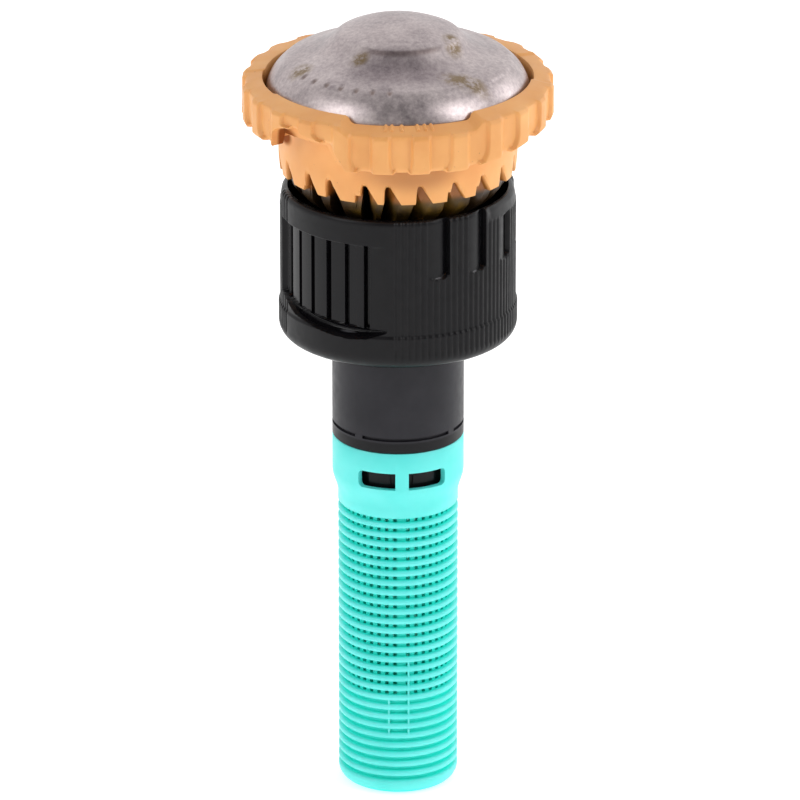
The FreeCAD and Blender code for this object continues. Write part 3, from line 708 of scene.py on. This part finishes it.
def window_warp(heading, height):
    """Round the outer corners of the windows by moving the points beside them."""
    turn = math.degrees(WINDOW_ROUND / filter_r)
    low, high = WINDOW_Z
    for first, last in WINDOWS:
        outer, inward = window_outer(first, last)
        u = float(away(heading, outer)) * inward / turn
        for edge, into in ((low, 1), (high, -1)):
            v = (height - edge) * into / WINDOW_ROUND
            on_side = abs(u) < 0.02 and -0.02 < v < 1.02
            on_edge = abs(v) < 0.02 and -0.02 < u < 1.02
            if on_side or on_edge:
                angle = math.pi / 4 * (1 - v) if on_side else math.pi / 4 * (1 + u)
                u_new, v_new = 1 - math.cos(angle), 1 - math.sin(angle)
                return heading + (u_new - u) * turn * inward, edge + v_new * WINDOW_ROUND * into
    return heading, height


# The six sides of a cell: the neighbour across it and its four corners, each as steps in
# radius, heading and height.
CELL_SIDES = (
    ((-1, 0, 0), ((0, 0, 0), (0, 0, 1), (0, 1, 1), (0, 1, 0))),
    ((1, 0, 0), ((1, 0, 0), (1, 1, 0), (1, 1, 1), (1, 0, 1))),
    ((0, -1, 0), ((0, 0, 0), (1, 0, 0), (1, 0, 1), (0, 0, 1))),
    ((0, 1, 0), ((0, 1, 0), (0, 1, 1), (1, 1, 1), (1, 1, 0))),
    ((0, 0, -1), ((0, 0, 0), (0, 1, 0), (1, 1, 0), (1, 0, 0))),
    ((0, 0, 1), ((0, 0, 1), (1, 0, 1), (1, 1, 1), (0, 1, 1))),
)


def filter_points(columns, levels):
    """Corners of the filter's cells, by radius, heading and height."""
    points = np.zeros((4, len(columns), len(levels), 3))
    for j, heading in enumerate(columns):
        for i, height in enumerate(levels):
            turn, up = window_warp(heading, height)
            outer = filter_outer_r(height)
            socket = min(SOCKET_R if height > SOCKET_LOW_Z - 0.2 else GROOVE_R, outer - 0.05)
            if WINDOW_Z[0] - 0.4 < height < WINDOW_Z[1] + 0.4:
                socket = outer - WINDOW_WALL
            angle = math.radians(turn)
            for k, radius in enumerate((0.0, SCREEN_BORE_R, socket, outer)):
                points[k, j, i] = (radius * math.sin(angle), -radius * math.cos(angle), up)
    return points


def filter_shape():
    """The filter as cells between radii, headings and heights; faces lie between solid and air."""
    columns, levels = filter_columns(), filter_levels()
    points = filter_points(columns, levels)
    radii, count, rows = points.shape[:3]
    index = np.arange(radii * count * rows).reshape(radii, count, rows)
    middles = (columns + np.append(columns[1:], columns[0] + 360)) / 2
    heights = (levels[:-1] + levels[1:]) / 2
    solid = np.zeros((radii + 1, count, rows + 1), bool)      # air inside, outside, over and under
    for layer in range(radii - 1):
        for j, heading in enumerate(middles):
            for i, height in enumerate(heights):
                solid[layer + 1, j, i + 1] = filter_solid(layer, heading, height)
    faces = []
    for layer, j, i in np.argwhere(solid).tolist():
        for (across, around, up), corners in CELL_SIDES:
            on_axis = layer == 1 and across < 0
            if not on_axis and not solid[layer + across, (j + around) % count, i + up]:
                faces.append([index[layer - 1 + a, (j + b) % count, i - 1 + c]
                              for a, b, c in corners])
    used, faces = np.unique(faces, return_inverse=True)
    points = points.reshape(-1, 3)[used]
    return mesh_object("filter_moulding", points, faces.reshape(-1, 4).tolist(), 50)


# ---- spring ----
def spring_shape():
    """Open coil of round wire between the seat washer and the boss above it."""
    sections, sides = 48 * SPRING_TURNS + 1, 10
    along = np.linspace(0, 1, sections)[:, None]
    around = np.radians(np.arange(sides) * 360 / sides)[None, :]
    turn = 2 * math.pi * SPRING_TURNS * along
    rise = spring_top_z - spring_low_z - 2 * SPRING_WIRE_R
    radius = spring_r - SPRING_WIRE_R + SPRING_WIRE_R * np.cos(around)
    height = spring_low_z + SPRING_WIRE_R + rise * along + SPRING_WIRE_R * np.sin(around)
    points = np.stack([radius * np.cos(turn), radius * np.sin(turn), height], 2).reshape(-1, 3)
    index = np.arange(sections * sides).reshape(sections, sides)
    after = np.roll(index, -1, axis=1)
    faces = np.stack([index[:-1], after[:-1], after[1:], index[1:]], 2).reshape(-1, 4).tolist()
    faces += [index[0][::-1].tolist(), index[-1].tolist()]
    return mesh_object("spring_coil", points, faces, 60)


# ---- materials ----
class Shader:
    """A Principled material with short calls for its nodes; values are named after sockets."""

    def __init__(self, name, **values):
        self.material = bpy.data.materials.new(name)
        self.material.use_nodes = True
        self.tree = self.material.node_tree
        self.surface = self.tree.nodes["Principled BSDF"]
        self.place = self.node("ShaderNodeTexCoord").outputs["Object"]
        for socket, value in values.items():
            self.surface.inputs[socket.replace("_", " ")].default_value = value

    def node(self, kind, **settings):
        made = self.tree.nodes.new(kind)
        for key, value in settings.items():
            setattr(made, key, value)
        return made

    def link(self, output, target):
        self.tree.links.new(output, target)

    def noise(self, per_mm, detail=4.0, roughness=0.5, stretch=(1, 1, 1)):
        """Noise with so many cells in a millimetre."""
        mapping = self.node("ShaderNodeMapping")
        mapping.inputs["Scale"].default_value = [per_mm / MM * s for s in stretch]
        self.link(self.place, mapping.inputs["Vector"])
        noise = self.node("ShaderNodeTexNoise")
        noise.inputs["Scale"].default_value = 1.0
        noise.inputs["Detail"].default_value = detail
        noise.inputs["Roughness"].default_value = roughness
        self.link(mapping.outputs["Vector"], noise.inputs["Vector"])
        return noise.outputs["Fac"]

    def span(self, value, low, high):
        """0 at low and 1 at high, smooth between them."""
        span = self.node("ShaderNodeMapRange", interpolation_type="SMOOTHSTEP")
        self.link(value, span.inputs["Value"])
        span.inputs["From Min"].default_value = low
        span.inputs["From Max"].default_value = high
        return span.outputs["Result"]

    def distance(self, centre, size):
        """Distance from a point in millimetres, counted in sizes along X, Y and Z. An axis with
        size 0 doesn't count."""
        mapping = self.node("ShaderNodeMapping")
        mapping.inputs["Scale"].default_value = [1 / (MM * s) if s else 0 for s in size]
        mapping.inputs["Location"].default_value = [
            -c / s if s else 0 for c, s in zip(centre, size)]
        self.link(self.place, mapping.inputs["Vector"])
        length = self.node("ShaderNodeVectorMath", operation="LENGTH")
        self.link(mapping.outputs["Vector"], length.inputs[0])
        return length.outputs["Value"]

    def height(self):
        """Height in millimetres; the object stands above z = 0."""
        return self.distance((0, 0, 0), (0, 0, 1))

    def product(self, first, second, operation="MULTIPLY"):
        product = self.node("ShaderNodeMath", operation=operation)
        self.link(first, product.inputs[0])
        self.link(second, product.inputs[1])
        return product.outputs["Value"]

    def ramp(self, value, *stops):
        """A colour ramp; a stop is (position, colour)."""
        ramp = self.node("ShaderNodeValToRGB")
        while len(ramp.color_ramp.elements) < len(stops):
            ramp.color_ramp.elements.new(0.5)
        for element, (position, colour) in zip(ramp.color_ramp.elements, stops):
            element.position = position
            element.color = (*colour, 1.0)
        self.link(value, ramp.inputs["Fac"])
        return ramp.outputs["Color"]

    def grey(self, value, low, high, start=0.3, end=0.7):
        """From low to high as the value goes from start to end."""
        return self.ramp(value, (start, (low,) * 3), (end, (high,) * 3))

    def mix(self, factor, first, second, blend="MIX"):
        """Mix two colours; each is a socket or a plain colour."""
        mix = self.node("ShaderNodeMix", data_type="RGBA", blend_type=blend)
        for value, socket in zip((factor, first, second), (mix.inputs[i] for i in (0, 6, 7))):
            if isinstance(value, bpy.types.NodeSocket):
                self.link(value, socket)
            elif isinstance(value, tuple):
                socket.default_value = (*value, 1.0)
            else:
                socket.default_value = value
        return mix.outputs[2]

    def bump(self, value, depth_mm, strength=1.0, under=None):
        bump = self.node("ShaderNodeBump")
        bump.inputs["Strength"].default_value = strength
        bump.inputs["Distance"].default_value = depth_mm * MM
        self.link(value, bump.inputs["Height"])
        if under is not None:
            self.link(under, bump.inputs["Normal"])
        self.link(bump.outputs["Normal"], self.surface.inputs["Normal"])
        return bump.outputs["Normal"]

    def colour(self, output):
        self.link(output, self.surface.inputs["Base Color"])

    def roughness(self, output):
        self.link(output, self.surface.inputs["Roughness"])


def srgb(red, green, blue):
    """Linear colour from 0 to 255 screen values."""
    def linear(value):
        value /= 255
        return value / 12.92 if value <= 0.04045 else ((value + 0.055) / 1.055) ** 2.4
    return linear(red), linear(green), linear(blue)


def tan_plastic():
    """Acetal of the deflector: warm, slightly cloudy, with a few dark specks. Shade is painted
    under the front of the band and in the left finger notch, and as brown, olive and dark brown
    on the fluted underside and inside the notches between the teeth."""
    made = Shader("tan plastic", Subsurface_Weight=0.05, Subsurface_Scale=0.0008,
                  Subsurface_Radius=(1.0, 0.45, 0.2))
    cloud = made.noise(0.22, 3.0)
    base = made.ramp(cloud, (0.3, srgb(229, 159, 89)), (0.7, srgb(240, 176, 106)))
    specks = made.noise(1.9, 2.0, 0.6)
    spotted = made.mix(made.grey(specks, 0.0, 0.5, 0.73, 0.79), base, srgb(150, 95, 50))
    radius = made.distance((0, 0, 0), (1, 1, 0))
    height = made.height()
    # painted shadow of the band's front, cast on the skirt below it
    shade = made.span(made.distance(*UNDER_BAND_SHADE), 1.0, 0.3)
    on_skirt = made.grey(made.span(radius, 12.9, 12.5), 0.0, 0.5, 0.0, 1.0)
    shaded = made.mix(made.product(shade, on_skirt), spotted, srgb(140, 80, 30))
    # painted shade in the left finger notch: its end wall and the skirt beside it
    arch_wall = made.span(made.distance(*ARCH_WALL_SHADE), 1.0, 0.5)
    arch_end = made.span(made.distance(*ARCH_END_SHADE), 1.0, 0.5)
    corner = made.product(arch_wall, arch_end, "MAXIMUM")
    hidden = made.product(corner, made.span(radius, 15.0, 14.5))
    shaded = made.mix(hidden, shaded, srgb(138, 70, 12))
    # painted shade inside the skirt, behind the notches between the teeth
    inside = made.span(radius, SKIRT_TIP_R - 0.05, SKIRT_TIP_R - 0.6)
    lower = made.span(height, TIP_Z + 2.6, TIP_Z + 1.6)
    brown = made.mix(made.product(inside, lower), shaded, srgb(158, 96, 34))
    # painted shade on the fluted underside: olive in front, dark brown at the sides
    deeper = made.product(inside, made.span(height, TIP_Z + 0.4, TIP_Z - 0.5))
    olive = made.ramp(made.noise(0.5, 4.0), (0.3, srgb(40, 28, 8)), (0.7, srgb(112, 84, 26)))
    side = made.span(made.distance(*FLUTE_SIDE_SHADE), 0.75, 1.05)
    made.colour(made.mix(deeper, brown, made.mix(side, olive, srgb(56, 39, 18))))
    sheen = made.grey(made.noise(0.8, 3.0), 0.38, 0.52)
    made.roughness(made.mix(hidden, sheen, (1.0, 1.0, 1.0)))
    made.bump(made.noise(6.0, 4.0), 0.012, 0.5)
    return made.material


def cap_steel():
    """Stainless sheet, stamped and tumbled: cloudy grey with brown stains, with a painted darker
    reflection in front of the knob and painted shade along the knob's lower front edge."""
    made = Shader("cap steel", Metallic=1.0)
    cloud = made.noise(0.3, 7.0, 0.68)
    base = made.ramp(cloud, (0.3, srgb(150, 138, 140)), (0.52, srgb(192, 179, 179)),
                     (0.75, srgb(222, 210, 208)))
    fine = made.noise(2.6, 5.0, 0.7)
    grain = made.ramp(fine, (0.35, srgb(128, 116, 124)), (0.65, srgb(228, 218, 216)))
    grained = made.mix(0.3, base, grain)
    radius = made.distance((0, 0, 0), (1, 1, 0))
    # painted darker reflection of the room's front, in front of the knob
    front = made.span(made.distance(*CAP_FRONT_REFLECTION), 1.0, 0.2)
    edge = made.product(made.span(radius, 5.9, 6.2), made.span(radius, 6.7, 6.3))
    knob_front = made.span(made.distance(*KNOB_FRONT_SHADE), 1.0, 0.5)
    darkened = made.mix(front, grained, (0.68, 0.66, 0.68), "MULTIPLY")
    blots = made.noise(0.9, 6.0, 0.7)
    # painted shade: a dark line along the front of the knob's lower edge; real brown stains follow
    stained_and_shaded = made.mix(made.product(knob_front, edge), darkened, (0.6, 0.56, 0.55), "MULTIPLY")
    for centre, size in CAP_STAINS:
        near = made.span(made.distance(centre, size), 1.0, 0.35)
        patch = made.product(near, made.grey(blots, 0.15, 0.9, 0.42, 0.56))
        stained_and_shaded = made.mix(patch, stained_and_shaded, srgb(132, 112, 82))
    for i in range(STAMPS):
        turn = math.radians(FIRST_STAMP + STAMP_PITCH * i)
        centre = (11.0 * math.sin(turn), -11.0 * math.cos(turn), 0)
        stained_and_shaded = made.mix(made.span(made.distance(centre, (0.45, 0.45, 0)), 1.0, 0.1), stained_and_shaded,
                           srgb(150, 134, 130))
    made.colour(stained_and_shaded)
    made.roughness(made.grey(made.noise(0.6, 6.0, 0.65), 0.3, 0.5))
    normal = made.bump(made.noise(0.5, 4.0), 0.05, 0.6)
    made.bump(made.noise(4.5, 5.0, 0.6), 0.018, 0.6, normal)
    return made.material


def black_plastic(name, dark, light, rough, polished_r=0.0, darker_z=0.0, painted_highlights=()):
    """Glass-filled nylon: near-black with a faint sheen and fine grain, glossier in the
    recesses inside polished_r, darker below darker_z and lightened to grey by painted highlights at
    the given spots."""
    made = Shader(name, Specular_IOR_Level=0.22)
    base = made.ramp(made.noise(0.3, 3.0), (0.3, dark), (0.7, light))
    below = made.span(made.height(), darker_z + 0.1, darker_z - 0.1)
    colour = made.mix(below, base, srgb(14, 13, 16))
    # painted highlights: the colour lightened to grey at each spot
    for centre, size in painted_highlights:
        highlight_mask = made.span(made.distance(centre, size), 1.0, 0.3)
        colour = made.mix(highlight_mask, colour, srgb(84, 83, 86))
    made.colour(colour)
    sheen = made.grey(made.noise(1.1, 4.0), rough - 0.06, rough + 0.06)
    recess = made.span(made.distance((0, 0, 0), (1, 1, 0)), polished_r, polished_r - 0.2)
    made.roughness(made.mix(recess, sheen, (0.2, 0.2, 0.2)))
    made.bump(made.noise(7.0, 4.0), 0.01, 0.5)
    return made.material


def teal_plastic():
    """Polypropylene of the filter, bright and slightly translucent, with a deeper teal painted in
    the grooves as their shade.
    """
    made = Shader("teal plastic", Subsurface_Weight=0.2, Subsurface_Scale=0.0007,
                  Subsurface_Radius=(0.25, 1.0, 0.9))
    cloud = made.noise(0.2, 3.0)
    base = made.ramp(cloud, (0.3, srgb(90, 234, 227)), (0.7, srgb(110, 241, 236)))
    # painted shade: a deeper teal on the groove floors of the screen
    deep = made.span(made.distance((0, 0, 0), (1, 1, 0)), SCREEN_R - 0.1, GROOVE_R + 0.1)
    screen = made.span(made.height(), TAPER_Z[0], TAPER_Z[0] - 0.3)
    made.colour(made.mix(made.product(deep, screen), base, srgb(44, 238, 224)))
    made.roughness(made.grey(made.noise(1.0, 3.0), 0.36, 0.48))
    made.bump(made.noise(7.0, 4.0), 0.008, 0.4)
    return made.material


def inner_plastic():
    """Acetal of the hidden parts, off-white."""
    made = Shader("inner plastic")
    cloud = made.noise(0.3, 3.0)
    made.colour(made.ramp(cloud, (0.3, srgb(196, 192, 182)), (0.7, srgb(214, 210, 200))))
    made.roughness(made.grey(made.noise(1.0, 3.0), 0.4, 0.55))
    made.bump(made.noise(6.0, 4.0), 0.01, 0.4)
    return made.material


def bright_steel():
    """Turned stainless steel, brushed round its axis."""
    made = Shader("bright steel", Metallic=1.0)
    cloud = made.noise(0.5, 4.0)
    made.colour(made.ramp(cloud, (0.3, srgb(176, 176, 178)), (0.7, srgb(206, 206, 208))))
    made.roughness(made.grey(made.noise(2.0, 3.0, 0.5, (1, 1, 0.05)), 0.18, 0.34))
    made.bump(made.noise(9.0, 3.0, 0.5, (1, 1, 0.05)), 0.004, 0.5)
    return made.material


def rubber(name, dark, light):
    made = Shader(name)
    made.colour(made.ramp(made.noise(0.6, 4.0), (0.3, dark), (0.7, light)))
    made.roughness(made.grey(made.noise(2.0, 4.0), 0.6, 0.8))
    made.bump(made.noise(9.0, 5.0), 0.02, 0.6)
    return made.material


def floor_paint():
    made = Shader("studio floor", Emission_Strength=FLOOR_GLOW, Emission_Color=(1, 1, 1, 1))
    made.colour(made.grey(made.noise(0.004, 2.0), 0.94, 0.97))
    made.roughness(made.grey(made.noise(0.01, 2.0), 0.7, 0.8))
    return made.material


def collar_highlight_spots():
    """Painted highlights on the lower edges of the cove and the slots, the same on both sides:
    centre and size.
    """
    spots = ((-26.7, 11.4, FOOT_TOP_Z, 1.2), (20.2, 11.6, SLOT_LOW_Z + 0.2, 0.5),
             (40.5, 11.6, SLOT_LOW_Z + 0.2, 0.5))
    painted_highlights = []
    for heading, radius, height, wide in spots:
        for turn in HALF_TURNS:
            angle = math.radians(heading + turn)
            centre = (radius * math.sin(angle), -radius * math.cos(angle), height)
            painted_highlights.append((centre, (wide, wide, 0.12)))
    return painted_highlights


def finishes():
    """{material slot: material}, for the slots of the record."""
    return {
        "cap_steel": cap_steel(),
        "deflector_plastic": tan_plastic(),
        "collar_plastic": black_plastic("collar plastic", srgb(8, 7, 10), srgb(13, 12, 15), 0.4,
                                        polished_r=COLLAR_OUT_R - 0.35, painted_highlights=collar_highlight_spots()),
        "base_plastic": black_plastic("base plastic", srgb(14, 13, 14), srgb(20, 19, 20), 0.5),
        "neck_plastic": black_plastic("neck plastic", srgb(34, 33, 38), srgb(42, 41, 46), 0.4,
                                      darker_z=filter_top_z + 1.15),
        "filter_plastic": teal_plastic(),
        "inner_plastic": inner_plastic(),
        "steel": bright_steel(),
        "pad_rubber": rubber("pad rubber", srgb(176, 104, 92), srgb(196, 124, 110)),
        "seal_rubber": rubber("seal rubber", srgb(24, 24, 25), srgb(34, 34, 35)),
    }


def dress(piece, material):
    piece.data.materials.clear()
    piece.data.materials.append(material)


# ---- studio ----
def area_light(name, place, size, watts):
    """A white rectangular light that points at the middle of the part."""
    light = bpy.data.lights.new(name, "AREA")
    light.shape = "RECTANGLE"
    light.size, light.size_y = size
    light.energy = watts
    lamp = bpy.data.objects.new(name, light)
    bpy.context.scene.collection.objects.link(lamp)
    lamp.location = place
    direction = lamp.location - Vector(AIM)
    lamp.rotation_euler = direction.to_track_quat("Z", "Y").to_euler()


def studio(paint):
    scene = bpy.context.scene
    scene.view_settings.view_transform = "Standard"
    corners = [(x * FLOOR_HALF, y * FLOOR_HALF, 0) for x, y in ((-1, -1), (1, -1), (1, 1), (-1, 1))]
    mesh = bpy.data.meshes.new("floor")
    mesh.from_pydata(corners, [], [(0, 1, 2, 3)])
    floor = bpy.data.objects.new("floor", mesh)
    scene.collection.objects.link(floor)
    floor.data.materials.append(paint)

    sky()
    for lamp in LAMPS:
        area_light(*lamp)


def sky():
    """Soft surround, brighter behind the object than in front."""
    world = bpy.data.worlds.new("studio")
    bpy.context.scene.world = world
    world.use_nodes = True
    tree = world.node_tree
    place = tree.nodes.new("ShaderNodeTexCoord").outputs["Generated"]
    split = tree.nodes.new("ShaderNodeSeparateXYZ")
    tree.links.new(place, split.inputs["Vector"])
    fade = tree.nodes.new("ShaderNodeMapRange")
    for name, value in zip(("From Min", "From Max", "To Min", "To Max"), (-0.4, 0.6, *SKY)):
        fade.inputs[name].default_value = value
    tree.links.new(split.outputs["Y"], fade.inputs["Value"])
    background = tree.nodes["Background"]
    background.inputs["Color"].default_value = (1, 1, 1, 1)
    tree.links.new(fade.outputs["Result"], background.inputs["Strength"])


def camera():
    scene = bpy.context.scene
    lens = bpy.data.cameras.new("camera")
    lens.lens = LENS
    lens.sensor_width = 36
    lens.clip_start = 0.01
    eye = bpy.data.objects.new("camera", lens)
    scene.collection.objects.link(eye)
    eye.location = CAMERA_PLACE
    eye.rotation_euler = (math.radians(90 - CAMERA_FALL), 0, 0)
    scene.camera = eye


# ---- assembly ----
materials = finishes()
slots = {part["node"]: part["material_slot"] for part in frame["record"]["subparts"]}
for node_name, node in frame["nodes"].items():
    dress(node, materials[slots[node_name]])

PIECES = (
    (deflector_shape, "deflector", "deflector"),
    (cap_shape, "top_cap", "deflector"),
    (collar_shape, "arc_collar", "arc_collar"),
    (filter_shape, "filter_screen", "base"),
    (spring_shape, "compression_spring", "base"),
)
for make, node_name, body in PIECES:
    piece = make()
    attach(piece, body)
    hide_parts(node_name)
    dress(piece, materials[slots[node_name]])
    if make is spring_shape:
        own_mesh(piece)

studio(floor_paint())
camera()
